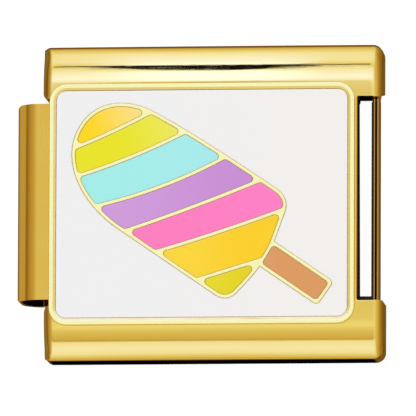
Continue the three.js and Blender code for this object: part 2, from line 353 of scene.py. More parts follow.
class Sheet:
    """A node tree with short ways to add nodes and to wire them."""

    def __init__(self, tree: NodeTree) -> None:
        """Starts on a tree."""
        self.tree = tree

    def add(self, kind: str, **settings: object) -> Node:
        """Adds a node.

        Args:
            kind: The node's type.
            settings: Values of its own fields.

        Returns:
            The node.
        """
        node = self.tree.nodes.new(kind)
        for name, value in settings.items():
            setattr(node, name, value)
        return node

    def wire(self, source: Socket, target: Socket) -> None:
        """Joins an output to an input."""
        self.tree.links.new(source, target)

    @staticmethod
    def put(node: Node, values: dict[str, object]) -> None:
        """Sets a node's inputs by name."""
        for name, value in values.items():
            node.inputs[name].default_value = value

    def parts(self, place: Socket) -> Sequence[Socket]:
        """The X, Y and Z of a place."""
        node = self.add("ShaderNodeSeparateXYZ")
        self.wire(place, node.inputs[0])
        return node.outputs

    def eased(self, value: Socket, low: float, high: float) -> Socket:
        """Turns a value into a share that eases from 0 at one bound to 1 at the other."""
        node = self.add("ShaderNodeMapRange", interpolation_type="SMOOTHSTEP")
        self.put(node, {"From Min": low, "From Max": high})
        self.wire(value, node.inputs["Value"])
        return node.outputs["Result"]

    def noise(self, place: Socket, scale: float, detail: float, roughness: float = 0.5) -> Socket:
        """Adds a cloudy noise that reads a place."""
        node = self.add("ShaderNodeTexNoise")
        self.put(node, {"Scale": scale, "Detail": detail, "Roughness": roughness})
        self.wire(place, node.inputs["Vector"])
        return node.outputs["Fac"]

    def group(self, tree: NodeTree, place: Socket, **values: object) -> Node:
        """Adds a shared effect that reads a place."""
        node = self.add("ShaderNodeGroup", node_tree=tree)
        self.put(node, values)
        self.wire(place, node.inputs["Vector"])
        return node

    def bump(self, surface: Node, height: Socket, strength: float, distance: float, invert: bool) -> None:
        """Makes a surface rise and fall a little.

        Args:
            surface: Its Principled node.
            height: What it follows.
            strength: How strongly it follows.
            distance: How far it rises, in metres.
            invert: Whether it falls where the height is high.
        """
        node = self.add("ShaderNodeBump", invert=invert)
        self.put(node, {"Strength": strength, "Distance": distance})
        self.wire(height, node.inputs["Height"])
        self.wire(node.outputs["Normal"], surface.inputs["Normal"])

    def sums(self, operation: str, first: object, second: object = None) -> Socket:
        """Adds a Math node.

        Args:
            operation: What it does.
            first: A socket or a number.
            second: A socket or a number, if it takes one.

        Returns:
            Its output.
        """
        node = self.add("ShaderNodeMath", operation=operation)
        for socket, value in zip(node.inputs, (first, second)):
            if isinstance(value, Socket):
                self.wire(value, socket)
            elif value is not None:
                socket.default_value = value
        return node.outputs[0]

    def ramp(self, source: Socket, stops: Sequence[tuple[float, Colour]]) -> Socket:
        """Adds a Color Ramp.

        Args:
            source: What it reads, from 0 to 1.
            stops: The place and the colour of each stop.

        Returns:
            Its colour.
        """
        node = self.add("ShaderNodeValToRGB")
        line = node.color_ramp
        while len(line.elements) < len(stops):
            line.elements.new(0.5)
        for element, (place, colour) in zip(line.elements, stops):
            element.position = place
            element.color = (*colour, 1)
        self.wire(source, node.inputs["Fac"])
        return node.outputs["Color"]

    def mix(self, share: Socket, first: object, second: object) -> Socket:
        """Adds a colour Mix node.

        Args:
            share: How much of the second colour shows.
            first: A socket or a colour.
            second: A socket or a colour.

        Returns:
            The mixed colour.
        """
        node = self.add("ShaderNodeMix", data_type="RGBA")
        self.wire(share, node.inputs["Factor"])
        for socket, value in ((node.inputs[6], first), (node.inputs[7], second)):
            if isinstance(value, Socket):
                self.wire(value, socket)
            else:
                socket.default_value = (*value, 1)
        return node.outputs[2]


def effect(
    name: str, inputs: Sequence[tuple[str, str, object]], outputs: Sequence[tuple[str, str]]
) -> tuple[NodeTree, Sheet, dict, dict]:
    """Starts a shader node group.

    Args:
        name: Its name.
        inputs: The name, the kind and the default of each input.
        outputs: The name and the kind of each output.

    Returns:
        The group, its sheet, its inputs' sockets and its outputs' sockets.
    """
    tree = bpy.data.node_groups.new(name, "ShaderNodeTree")
    for label, kind, default in inputs:
        socket = tree.interface.new_socket(label, in_out="INPUT", socket_type=f"NodeSocket{kind}")
        if default is not None:
            socket.default_value = default
    for label, kind in outputs:
        tree.interface.new_socket(label, in_out="OUTPUT", socket_type=f"NodeSocket{kind}")
    sheet = Sheet(tree)
    inlet = sheet.add("NodeGroupInput")
    outlet = sheet.add("NodeGroupOutput")
    return (
        tree,
        sheet,
        {label: inlet.outputs[label] for label, _, _ in inputs},
        {label: outlet.inputs[label] for label, _ in outputs},
    )


class Effects:
    """The effects that several finishes share, each built once."""

    def __init__(self) -> None:
        """Builds the groups."""
        self.scratches = self.fine_scratches()
        self.haze = self.polish_haze()
        self.flow = self.enamel_flow()

    @staticmethod
    def fine_scratches() -> NodeTree:
        """Hair-thin lines left by a polishing cloth.

        Returns:
            The group. Its Lines output is 1 on a line and 0 between lines.
        """
        tree, sheet, inlet, outlet = effect(
            "fine scratches", [("Vector", "Vector", None)], [("Lines", "Float")]
        )
        stretched = sheet.add("ShaderNodeVectorMath", operation="MULTIPLY")
        sheet.wire(inlet["Vector"], stretched.inputs[0])
        stretched.inputs[1].default_value = SCRATCH_SCALE
        grain = sheet.noise(stretched.outputs[0], 1.0, 2.0)
        sheet.wire(sheet.eased(grain, 0.56, 0.72), outlet["Lines"])
        return tree

    @staticmethod
    def polish_haze() -> NodeTree:
        """Slow changes in how bright a polish is.

        Returns:
            The group. Its Value output runs between Low and High.
        """
        tree, sheet, inlet, outlet = effect(
            "polish haze",
            [("Vector", "Vector", None), ("Low", "Float", 0.05), ("High", "Float", 0.1)],
            [("Value", "Float"), ("Cloud", "Float")],
        )
        cloud = sheet.noise(inlet["Vector"], 700.0, 3.0, 0.6)
        spread = sheet.eased(cloud, 0.35, 0.65)
        sheet.wire(inlet["Low"], spread.node.inputs["To Min"])
        sheet.wire(inlet["High"], spread.node.inputs["To Max"])
        sheet.wire(spread, outlet["Value"])
        sheet.wire(cloud, outlet["Cloud"])
        return tree

    @staticmethod
    def enamel_flow() -> NodeTree:
        """Enamel whose colour pales along one direction, with fine pigment in it.

        Returns:
            The group. Its outputs are the colour and the height of the surface's faint ripple.
        """
        tree, sheet, inlet, outlet = effect(
            "enamel flow",
            [
                ("Vector", "Vector", None),
                ("Deep", "Color", (1, 1, 1, 1)),
                ("Pale", "Color", (1, 1, 1, 1)),
                ("Start", "Float", 0.0),
                ("Reach", "Float", 0.004),
                ("Pigment", "Float", 0.03),
            ],
            [("Color", "Color"), ("Ripple", "Float")],
        )
        along = sheet.parts(inlet["Vector"])[0]
        cloud = sheet.noise(inlet["Vector"], 420.0, 2.0)
        wander = sheet.sums("MULTIPLY", sheet.sums("SUBTRACT", cloud, 0.5), 0.0012)
        place = sheet.sums("ADD", along, wander)
        share = sheet.sums("DIVIDE", sheet.sums("SUBTRACT", place, inlet["Start"]), inlet["Reach"])
        colour = sheet.mix(sheet.eased(share, 0.0, 1.0), inlet["Deep"], inlet["Pale"])
        specks = sheet.noise(inlet["Vector"], 16000.0, 2.0)
        depth = sheet.sums("MULTIPLY", sheet.sums("SUBTRACT", specks, 0.5), inlet["Pigment"])
        shade = sheet.add("ShaderNodeHueSaturation")
        sheet.wire(sheet.sums("ADD", depth, 1.0), shade.inputs["Value"])
        sheet.wire(colour, shade.inputs["Color"])
        sheet.wire(shade.outputs["Color"], outlet["Color"])
        sheet.wire(cloud, outlet["Ripple"])
        return tree


@dataclass(frozen=True)
class Finish:
    """What every finish has: a name, and a material that reads Object coordinates."""

    name: str

    def start(self) -> tuple[Material, Sheet, Node, Socket]:
        """Starts the material.

        Returns:
            The material, its sheet, its Principled node and the Object coordinates.
        """
        material = bpy.data.materials.new(self.name)
        material.use_nodes = True
        sheet = Sheet(material.node_tree)
        surface = material.node_tree.nodes["Principled BSDF"]
        place = sheet.add("ShaderNodeTexCoord").outputs["Object"]
        return material, sheet, surface, place


@dataclass(frozen=True)
class Metal(Finish):
    """Polished or drawn metal."""

    colour: Colour
    deep: Colour
    smooth: float
    hazy: float
    scratch_depth: float
    turn: float = 0.0
    metallic: float = 1.0

    def material(self, effects: Effects) -> Material:
        """Builds the material.

        Args:
            effects: The shared groups.

        Returns:
            The material.
        """
        material, sheet, surface, place = self.start()
        haze = sheet.group(effects.haze, place, Low=self.smooth, High=self.hazy)
        turned = sheet.add("ShaderNodeMapping")
        turned.inputs["Rotation"].default_value = (0, 0, self.turn)
        sheet.wire(place, turned.inputs["Vector"])
        lines = sheet.group(effects.scratches, turned.outputs["Vector"]).outputs["Lines"]
        colour = sheet.mix(haze.outputs["Cloud"], self.deep, self.colour)
        sheet.wire(colour, surface.inputs["Base Color"])
        surface.inputs["Metallic"].default_value = self.metallic
        rubbed = sheet.sums("MULTIPLY", lines, self.smooth)
        sheet.wire(sheet.sums("ADD", haze.outputs["Value"], rubbed), surface.inputs["Roughness"])
        sheet.bump(surface, lines, self.scratch_depth, 0.00001, True)
        return material


@dataclass(frozen=True)
class ShadedMetal(Metal):
    """Metal with painted shade in one place: it darkens between two places along X, below a height, in
    millimetres.
    """

    low_x: float = 0.0
    high_x: float = 0.0
    top_z: float = 9.0
    soft: float = 0.01
    shade: Colour = (0.3, 0.22, 0.1)

    def material(self, effects: Effects) -> Material:
        """Builds the material.

        Args:
            effects: The shared groups.

        Returns:
            The material.
        """
        material = super().material(effects)
        sheet = Sheet(material.node_tree)
        surface = material.node_tree.nodes["Principled BSDF"]
        colour = surface.inputs["Base Color"].links[0].from_socket
        x, _, z = sheet.parts(sheet.add("ShaderNodeTexCoord").outputs["Object"])
        mask: object = 1.0
        for part, low, high in (
            (x, self.low_x, self.low_x + self.soft),
            (x, self.high_x, self.high_x - self.soft),
            (z, self.top_z, self.top_z - self.soft),
        ):
            mask = sheet.sums("MULTIPLY", sheet.eased(part, low * MM, high * MM), mask)
        sheet.wire(sheet.mix(mask, colour, self.shade), surface.inputs["Base Color"])
        # Below metallic 1, the part outside the shade is a pale, partly diffuse painted highlight.
        if self.metallic < 1:
            sheet.wire(sheet.sums("MAXIMUM", mask, self.metallic), surface.inputs["Metallic"])
        return material


@dataclass(frozen=True)
class Enamel(Finish):
    """Glossy fired enamel, which may pale along the face."""

    deep: Colour
    pale: Colour
    start_x: float = 0.0
    reach: float = 0.004
    pigment: float = 0.03

    def material(self, effects: Effects) -> Material:
        """Builds the material.

        Args:
            effects: The shared groups.

        Returns:
            The material.
        """
        material, sheet, surface, place = self.start()
        ends = {"Deep": (*self.deep, 1), "Pale": (*self.pale, 1)}
        flow = sheet.group(
            effects.flow, place, **ends, Start=self.start_x, Reach=self.reach, Pigment=self.pigment
        )
        sheet.wire(flow.outputs["Color"], surface.inputs["Base Color"])
        haze = sheet.group(effects.haze, place, Low=0.14, High=0.2)
        sheet.wire(haze.outputs["Value"], surface.inputs["Roughness"])
        sheet.put(surface, {"Coat Weight": 1.0, "Coat Roughness": 0.04, "Specular IOR Level": 0.3})
        sheet.bump(surface, flow.outputs["Ripple"], 0.04, 0.00004, False)
        return material


def painted(code: str) -> Colour:
    """Turns a screen colour such as f5f3f5 into the linear colour that a shader takes."""
    parts = [int(code[i : i + 2], 16) / 255 for i in (0, 2, 4)]
    return tuple(part / 12.92 if part <= 0.04045 else ((part + 0.055) / 1.055) ** 2.4 for part in parts)


# Pieces of metal


@dataclass
class Shell:
    """The crowned gold body with its four arms, in millimetres."""

    piece: Piece = field(default_factory=lambda: Piece("shell_body", "polished_gold", ("shell",)))
    half_width: float = 4.5
    left: float = -4.427
    right: float = 5.233
    wall_low: float = 0.91
    wall_top: float = 1.75
    shoulder_radius: float = 0.24
    shoulder_end: float = math.radians(40)
    land_edge: float = math.radians(3)
    land_half_width: float = 3.4
    left_end_round: float = 0.32
    left_corner_round: float = 0.18
    right_end_round: float = 0.34
    right_corner_round: float = 0.28
    left_floor: float = -4.16
    left_sides: Pair = (-2.94, 2.95)
    left_mouth_round: float = 0.2
    right_floor: float = 4.47
    right_sides: Pair = (-2.85, 2.96)
    right_mouth_round: float = 0.04
    notch_edge: float = 0.045
    lip: float = 0.075
    lip_low: float = 2.15
    arm_under: float = 1.2
    bar_side: float = 5.13
    tip_slope: float = 0.15
    tip_slope_reach: float = 0.06
    bow: float = 0.05
    land_fall: float = 0.03
    land_flat_half: float = 2.2
    lower_shift: float = 0.04
    shift_from_x: Pair = (4.0, 4.5)
    shift_below_y: Pair = (2.8, 2.84)
    cavity_right: float = 4.22
    cavity_half_width: float = 3.63
    roof: float = 1.98

    def section(self, shape: Shape) -> None:
        """Makes the section across the bracelet, as one face at the left end.

        Args:
            shape: An empty mesh.
        """
        shoulder_y = self.half_width - self.shoulder_radius
        crown_edge_y = shoulder_y + self.shoulder_radius * math.sin(self.shoulder_end)
        crown_radius = (crown_edge_y - self.land_half_width) / (
            math.sin(self.shoulder_end) - math.sin(self.land_edge)
        )
        crown_y = self.land_half_width - crown_radius * math.sin(self.land_edge)
        crown_z = self.wall_top + (self.shoulder_radius - crown_radius) * math.cos(self.shoulder_end)
        foot = shape.verts.new((self.left, self.half_width, self.wall_low))
        head = shape.verts.new((self.left, self.half_width, self.wall_top))
        shape.edges.new((foot, head))
        turns = (
            (shoulder_y, self.wall_top, math.pi / 2 - self.shoulder_end, 10),
            (crown_y, crown_z, self.shoulder_end - self.land_edge, 24),
        )
        for centre_y, centre_z, turn, steps in turns:
            head = sweep(shape, head, (self.left, centre_y, centre_z), Axis.X, turn, steps)
        half = shape.verts[:] + shape.edges[:]
        bmesh.ops.mirror(shape, geom=half, matrix=Matrix.Identity(4), merge_dist=0, axis="Y")
        loose_ends = [vert for vert in shape.verts if len(vert.link_edges) == 1]
        for height in (min, max):
            level = height(vert.co.z for vert in loose_ends)
            ends = [vert for vert in loose_ends if abs(vert.co.z - level) < 1e-4]
            shape.edges.new(ends)
        bmesh.ops.contextual_create(shape, geom=shape.edges[:])

    def notches(self) -> tuple:
        """The notches with the right one's lip, and the core's space, as lowest and highest corners."""
        beyond = 1.0
        left_low, left_high = self.left_sides
        right_low, right_high = self.right_sides
        lip_end = self.right_floor + self.lip
        return (
            ((self.left - beyond, left_low, 0), (self.left_floor, left_high, 4)),
            ((lip_end, right_low, 0), (self.right + beyond, right_high, 4)),
            ((self.right_floor, right_low, 0), (lip_end + 0.01, right_high, self.lip_low)),
            (
                (self.left_floor, -self.cavity_half_width, 0),
                (self.cavity_right, self.cavity_half_width, self.roof),
            ),
        )

    def arm_spaces(self) -> tuple:
        """The space below the upper right arm's mouth, as lowest and highest corners."""
        side = self.right_sides[1]
        return (
            ((self.cavity_right, side - 0.1, 0), (self.bar_side - 0.08, side + 0.3, self.arm_under)),
        )

    @staticmethod
    def carve(passing: Thing, spaces: Sequence) -> None:
        """Cuts spaces out of an object.

        Args:
            passing: The object.
            spaces: The lowest and the highest corner of each.
        """
        for low, high in spaces:
            low, high = Vector(low), Vector(high)
            box = bmesh.new()
            place = Matrix.Translation((low + high) / 2) @ Matrix.Diagonal((*(high - low), 1))
            bmesh.ops.create_cube(box, size=1.0, matrix=place)
            cutter = bpy.data.objects.new("cutter", mesh_of(box))
            cut = passing.modifiers.new("space", "BOOLEAN")
            cut.object = cutter
            cut.operation = "DIFFERENCE"
            cut.solver = "EXACT"

    def weigh(self, mesh: Mesh) -> None:
        """Marks how much each edge of the body is rounded.

        Args:
            mesh: The body's mesh.
        """
        shape = opened(mesh)
        layer = shape.edges.layers.float.new("bevel_weight_edge")
        for edge in shape.edges:
            if len(edge.link_faces) == 2 and edge.calc_face_angle(0) > SHARP_ANGLE:
                edge[layer] = self.rounding(edge) / self.right_end_round
        put_back(shape, mesh)

    def rounding(self, edge: BMEdge) -> float:
        """How much a sharp edge of the body is rounded.

        Args:
            edge: The edge.

        Returns:
            The radius, in millimetres.
        """
        ends = [vert.co for vert in edge.verts]
        middle = (ends[0] + ends[1]) / 2
        if all(point.z < self.wall_low + 1e-3 for point in ends):
            return 0.0
        left_rounds = (self.left_end_round, self.left_corner_round, self.left_mouth_round)
        right_rounds = (self.right_end_round, self.right_corner_round, self.right_mouth_round)
        for place, sides, (end_round, corner_round, mouth_round) in (
            (self.left, self.left_sides, left_rounds),
            (self.right, self.right_sides, right_rounds),
        ):
            if all(abs(point.x - place) < 1e-3 for point in ends):
                at_mouth = min(abs(middle.y - side) for side in sides) < 1e-3
                flatness = min((self.half_width - abs(middle.y)) / self.shoulder_radius, 1)
                return mouth_round if at_mouth else corner_round + (end_round - corner_round) * flatness
        return self.notch_edge if middle.z > self.lip_low + 0.01 else 0.0

    def bend(self, mesh: Mesh) -> None:
        """Brings the rounded body to its last shape.

        The crown falls a little towards both ends, so that its reflections taper, and stays inside the
        round of the right end. The lower arms move a little right, and the upper right arm's mouth slopes.

        Args:
            mesh: The body's mesh, with its edges rounded.
        """
        shape = opened(mesh)
        round_start = self.right - self.right_end_round
        along_crown = [-3.9 + 0.45 * step for step in range(18)]
        at_bar = [self.bar_side - 0.03, self.bar_side]
        through_round = [round_start + 0.04 * step for step in range(1, 8)]
        across_crown = [side * (2.4 + 0.2 * step) for side in (-1, 1) for step in range(5)]
        score(shape, Axis.X, along_crown + at_bar + through_round)
        score(shape, Axis.Y, across_crown)
        reach = (self.right - self.left) / 2
        top = max(vert.co.z for vert in shape.verts)
        for vert in shape.verts:
            inward = min(vert.co.x - round_start, self.right_end_round)
            if inward > 0 and abs(vert.co.y) < self.land_half_width:
                fall = self.right_end_round - math.sqrt(self.right_end_round**2 - inward**2)
                vert.co.z = min(vert.co.z, top - fall)
            height = share(vert.co.z, self.wall_low, self.lip_low)
            away = vert.co.x - (self.right + self.left) / 2
            across = share(abs(vert.co.y), self.land_flat_half, self.land_half_width)
            vert.co.z -= height * (self.bow * (away / reach) ** 2 + self.land_fall * across**2)
            low_arm = share(-vert.co.y, *self.shift_below_y)
            vert.co.x += self.lower_shift * low_arm * share(abs(away), *self.shift_from_x)
            at_mouth = abs(vert.co.y - self.right_sides[1]) < self.tip_slope_reach
            if at_mouth and vert.co.x > self.bar_side - 1e-3:
                vert.co.y += self.tip_slope * (self.lip_low - min(vert.co.z, self.lip_low))
        put_back(shape, mesh)

    def build(self, material: Material) -> None:
        """Builds and dresses the shell."""
        shape = bmesh.new()
        self.section(shape)
        pull(shape, shape.faces[:], (self.right - self.left, 0, 0), keep=True)
        carved = settled(mesh_of(shape), lambda passing: self.carve(passing, self.notches()))
        self.weigh(carved)
        rounded = settled(carved, Edging(self.right_end_round, 8, by_weight=True).bevel)
        rounded = settled(rounded, lambda passing: self.carve(passing, self.arm_spaces()))
        rounded = settled(rounded, Edging(0.015, 2).bevel)
        for cutter in [thing for thing in bpy.data.objects if thing.name.startswith("cutter")]:
            bpy.data.objects.remove(cutter)
        self.bend(closed(rounded))
        self.piece.place(rounded, material)


@dataclass
class Hook:
    """The spring hook: a sheet bent round a nose, in millimetres."""

    piece: Piece = field(
        default_factory=lambda: Piece("spring_hook", "brushed_gold", ("hook",), Body.HOOK)
    )
    low: float = 0.05
    high: float = 1.95
    sheet: float = 0.15
    y_low: float = -2.745
    y_high: float = 2.865
    tip: float = -5.233
    nose_reach: float = 0.71
    inner_end: float = -2.5
    return_end: float = -4.3
    corner: float = 0.14

    def build(self, material: Material) -> None:
        """Builds and dresses the hook."""
        shape = bmesh.new()
        middle = (self.low + self.high) / 2
        half_height = (self.high - self.low) / 2
        nose_x = self.tip + self.nose_reach
        start = shape.verts.new((self.inner_end, self.y_low, self.high))
        head = shape.verts.new((nose_x, self.y_low, self.high))
        shape.edges.new((start, head))
        last = sweep(shape, head, (nose_x, self.y_low, middle), Axis.Y, -math.pi, 36)
        for vert in shape.verts:
            if vert.co.x < nose_x:
                vert.co.x = nose_x - (nose_x - vert.co.x) * self.nose_reach / half_height
        end = shape.verts.new((self.return_end, self.y_low, self.low))
        shape.edges.new((last, end))
        drawn = bmesh.ops.extrude_edge_only(shape, edges=shape.edges[:])["geom"]
        across = (0, self.y_high - self.y_low, 0)
        bmesh.ops.translate(shape, vec=across, verts=only(drawn, BMVert))
        bmesh.ops.recalc_face_normals(shape, faces=shape.faces[:])
        self.face_out(shape)
        bmesh.ops.solidify(shape, geom=shape.faces[:], thickness=self.sheet)
        bmesh.ops.recalc_face_normals(shape, faces=shape.faces[:])
        for y, out in ((self.y_low, -1), (self.y_high, 1)):
            centre = Vector((self.tip + self.corner, y - out * self.corner, middle))
            for turn in (15, 35, 55, 75):
                outward = Vector((-math.cos(math.radians(turn)), out * math.sin(math.radians(turn)), 0))
                trim(shape, centre + outward * self.corner, outward)
        edged = settled(mesh_of(shape), Edging(0.03, 4).bevel)
        self.piece.place(edged, material)

    def face_out(self, shape: Shape) -> None:
        """Turns the sheet's faces so that its outer side looks out of the bend."""
        top = max(shape.faces, key=lambda face: face.calc_center_median().z)
        if top.normal.z < 0:
            bmesh.ops.reverse_faces(shape, faces=shape.faces[:])


@dataclass
class Core:
    """The block inside, painted dark as shade, with its ledge and the slot for the next link's hook, in
    millimetres.
    """

    piece: Piece = field(default_factory=lambda: Piece("core_block", "dark_steel", ("core",)))
    left: float = -4.14
    right: float = 5.0
    half_width: float = 4.15
    corner: float = 0.15
    shelf: float = 0.88
    raised_right: float = 4.2
    raised_half_width: float = 3.6
    raised_top: float = 1.74
    ledge_left: float = 4.49
    ledge_sides: Pair = (-2.83, 2.94)
    ledge_top: float = 1.2
    slot_x: Pair = (4.526, 4.865)
    slot_y: Pair = (-2.625, 3.02)
    undercut: Pair = (0.14, 0.16)
    undercut_reach: float = 0.2

    def build(self, material: Material) -> None:
        """Builds and dresses the core."""
        shape = bmesh.new()
        corners = (Vector((self.left, -self.half_width)), Vector((self.right, self.half_width)))
        flat_face(shape, rounded_rectangle(*corners, self.corner, 6), 0)
        score(shape, Axis.X, (self.raised_right, self.ledge_left, *self.slot_x))
        raised = (-self.raised_half_width, self.raised_half_width)
        score(shape, Axis.Y, (*raised, *self.ledge_sides, *self.slot_y))
        drop(shape, self.in_slot)
        top = pull(shape, shape.faces[:], (0, 0, self.shelf), keep=True)
        for test, height in ((self.in_raised, self.raised_top), (self.in_ledge, self.ledge_top)):
            faces = [face for face in top if face.is_valid and test(face.calc_center_median())]
            pull(shape, faces, (0, 0, height - self.shelf))
        for vert in shape.verts:
            if vert.co.z < 1e-5 and self.on_slot_side(vert.co.x, self.ledge_left):
                vert.co.x -= self.undercut[0]
            if self.on_slot_side(vert.co.x, self.slot_x[0]):
                if self.slot_y[0] - 1e-4 < vert.co.y < self.slot_y[1] + 1e-4:
                    vert.co.x -= self.undercut[0] * max(1 - vert.co.z / self.shelf, 0)
            if vert.co.z < 1e-5 and self.on_slot_side(vert.co.y, self.slot_y[1]):
                if self.slot_x[0] - self.undercut_reach < vert.co.x < self.slot_x[1] + 1e-4:
                    vert.co.y += self.undercut[1]
        bmesh.ops.dissolve_limit(
            shape, angle_limit=math.radians(0.5), verts=shape.verts[:], edges=shape.edges[:]
        )
        edged = settled(mesh_of(shape), Edging(0.015, 3).bevel)
        self.piece.place(edged, material)

    @staticmethod
    def on_slot_side(place: float, side: float) -> bool:
        """Whether a place is on a side of the slot."""
        return abs(place - side) < 1e-4

    def in_slot(self, middle: Vector) -> bool:
        """Whether a point of the plan is in the slot."""
        return self.slot_x[0] < middle.x < self.slot_x[1] and self.slot_y[0] < middle.y < self.slot_y[1]

    def in_raised(self, middle: Vector) -> bool:
        """Whether a point of the plan is in the raised block."""
        return middle.x < self.raised_right and abs(middle.y) < self.raised_half_width

    def in_ledge(self, middle: Vector) -> bool:
        """Whether a point of the plan is on the ledge round the slot."""
        return middle.x > self.ledge_left and self.ledge_sides[0] < middle.y < self.ledge_sides[1]


@dataclass
class EndBar:
    """The channel that the next link's hook closes round, in millimetres."""

    piece: Piece = field(default_factory=lambda: Piece("end_channel", "brushed_gold", ("end_bar",)))
    left: float = 4.981
    right: float = 5.125
    inner_wall: float = 0.037
    outer_wall: float = 0.052
    skirt_left: float = 5.03
    top: float = 1.85
    floor: float = 1.3
    low: float = 1.22
    skirt: float = 1.05
    sides: Pair = (-2.83, 2.94)

    def build(self, material: Material) -> None:
        """Builds and dresses the end bar."""
        shape = bmesh.new()
        size = Vector((self.right - self.left, self.top - self.skirt))
        stand = Matrix.Rotation(math.pi / 2, 4, "X")
        middle = Vector(((self.left + self.right) / 2, self.sides[1], (self.top + self.skirt) / 2))
        placed = Matrix.Translation(middle) @ stand @ Matrix.Diagonal((size.x, size.y, 1, 1))
        bmesh.ops.create_grid(shape, x_segments=1, y_segments=1, size=0.5, matrix=placed)
        groove = (self.left + self.inner_wall, self.right - self.outer_wall)
        score(shape, Axis.X, (*groove, self.skirt_left))
        score(shape, Axis.Z, (self.floor, self.low))
        drop(shape, lambda m: groove[0] < m.x < groove[1] and m.z > self.floor)
        drop(shape, lambda m: m.x < self.skirt_left and m.z < self.low)
        pull(shape, shape.faces[:], (0, self.sides[0] - self.sides[1], 0), keep=True)
        edged = settled(mesh_of(shape), Edging(0.01, 2).bevel)
        self.piece.place(edged, material)


# The picture on the face


@dataclass(frozen=True)
class Stripe:
    """A line across the pop. It leans to the pop's length and bows towards its round end."""

    at: float
    lean: float
    bow: float
    span: float = 1.85

    def frame(self) -> tuple[Vector, Vector, Vector]:
        """The line's middle, its direction and the direction towards the stick."""
        angle = math.radians(self.lean)
        along = Vector((math.cos(angle), math.sin(angle)))
        return Vector((self.at, 0)), along, Vector((along.y, -along.x))

    def side(self, point: Vector) -> float:
        """How far a point lies from the line, towards the stick."""
        middle, along, sideways = self.frame()
        t = (point - middle).dot(along)
        return (point - middle).dot(sideways) + self.bow * (t / self.span) ** 2

    def reach(self, point: Vector) -> float:
        """How far along the line a point lies."""
        middle, along, _ = self.frame()
        return (point - middle).dot(along)

    def point(self, t: float, shift: float) -> Vector:
        """The point of the line at a reach, moved sideways by a shift."""
        middle, along, sideways = self.frame()
        return middle + along * t + sideways * (shift - self.bow * (t / self.span) ** 2)


def quadratic(start: Vector, handle: Vector, end: Vector, steps: int = 24) -> list[Vector]:
    """Points of a quadratic curve, without its last.

    Args:
        start: Where it starts.
        handle: Its handle.
        end: Where it ends.
        steps: How many stretches it has.

    Returns:
        The points.
    """
    first = start + (handle - start) * 2 / 3
    second = end + (handle - end) * 2 / 3
    return cubic(start, first, second, end, steps)


def cubic(start: Vector, first: Vector, second: Vector, end: Vector, steps: int = 32) -> list[Vector]:
    """Points of a cubic curve, without its last.

    Args:
        start: Where it starts.
        first: Its first handle.
        second: Its second handle.
        end: Where it ends.
        steps: How many stretches it has.

    Returns:
        The points.
    """
    found = interpolate_bezier(start.to_3d(), first.to_3d(), second.to_3d(), end.to_3d(), steps + 1)
    return [point.to_2d() for point in found[:-1]]


def grown(outline: Outline, distance: float) -> list[Vector]:
    """Moves a closed outline, listed anticlockwise, outwards, or inwards by a distance below zero."""
    moved = []
    for i, point in enumerate(outline):
        before = (point - outline[i - 1]).normalized()
        after = (outline[(i + 1) % len(outline)] - point).normalized()
        along = (before + after).normalized()
        stretch = math.sqrt((1 + before.dot(after)) / 2)
        moved.append(point + Vector((along.y, -along.x)) * distance / stretch)
    return moved


def rounded_out(outline: Outline, radius: float) -> list[Vector]:
    """Moves a closed outline, listed anticlockwise, outwards, with an arc round each corner.

    Args:
        outline: Its points.
        radius: How far it moves.

    Returns:
        The moved points.
    """
    moved = []
    for i, point in enumerate(outline):
        before = point - outline[i - 1]
        after = outline[(i + 1) % len(outline)] - point
        if before.length < 1e-6 or after.length < 1e-6:
            continue
        start = math.atan2(-before.x, before.y)
        turn = math.atan2(before.cross(after), before.dot(after))
        steps = max(0, math.ceil(turn / math.radians(12)))
        for step in range(steps + 1):
            angle = start + turn * (step / steps if steps else 0.5)
            moved.append(point + radius * Vector((math.cos(angle), math.sin(angle))))
    return tidy_outline(moved)


def tidy_outline(outline: Outline, least: float = 0.004) -> list[Vector]:
    """Leaves out the points of a closed outline that lie on the point before them."""
    kept = []
    for point in outline:
        if not kept or (point - kept[-1]).length > least:
            kept.append(point)
    while len(kept) > 3 and (kept[-1] - kept[0]).length <= least:
        kept.pop()
    return kept


def clipped(outline: Outline, stripe: Stripe, shift: float, side: int) -> list[Vector]:
    """Cuts a closed outline along a stripe's line.

    Args:
        outline: Its points, anticlockwise.
        stripe: The line.
        shift: How far the cut is moved towards the stick.
        side: 1 keeps the stick's side, and -1 the other.

    Returns:
        The kept part, closed along the line.
    """
    values = [side * (stripe.side(point) - shift) for point in outline]
    kept: list[Vector] = []
    leaving = entering = None
    for i, point in enumerate(outline):
        j = (i + 1) % len(outline)
        if values[i] >= 0:
            kept.append(point)
        if (values[i] >= 0) != (values[j] >= 0):
            cut = point.lerp(outline[j], values[i] / (values[i] - values[j]))
            kept.append(cut)
            if values[i] >= 0:
                leaving = (len(kept), cut)
            else:
                entering = cut
    if leaving is None or entering is None:
        return kept
    index, start = leaving
    first, last = stripe.reach(start), stripe.reach(entering)
    steps = 30
    line = [stripe.point(first + (last - first) * step / steps, shift) for step in range(1, steps)]
    return kept[:index] + line + kept[index:]


def crossing(
    start: Vector, end: Vector, outline: Outline, least_x: float = -math.inf
) -> tuple[int, Vector]:
    """Finds where a stretch first crosses a closed outline.

    Args:
        start: Where the stretch starts.
        end: Where it ends.
        outline: The outline's points.
        least_x: Crossings further left than this are passed over.

    Returns:
        The number of the outline's point before the crossing, and the crossing.

    Raises:
        ValueError: If there is no crossing.
    """
    for i, point in enumerate(outline):
        hit = intersect_line_line_2d(start, end, point, outline[(i + 1) % len(outline)])
        if hit is not None and hit.x > least_x:
            return i, hit
    raise ValueError("the stretch doesn't cross the outline")


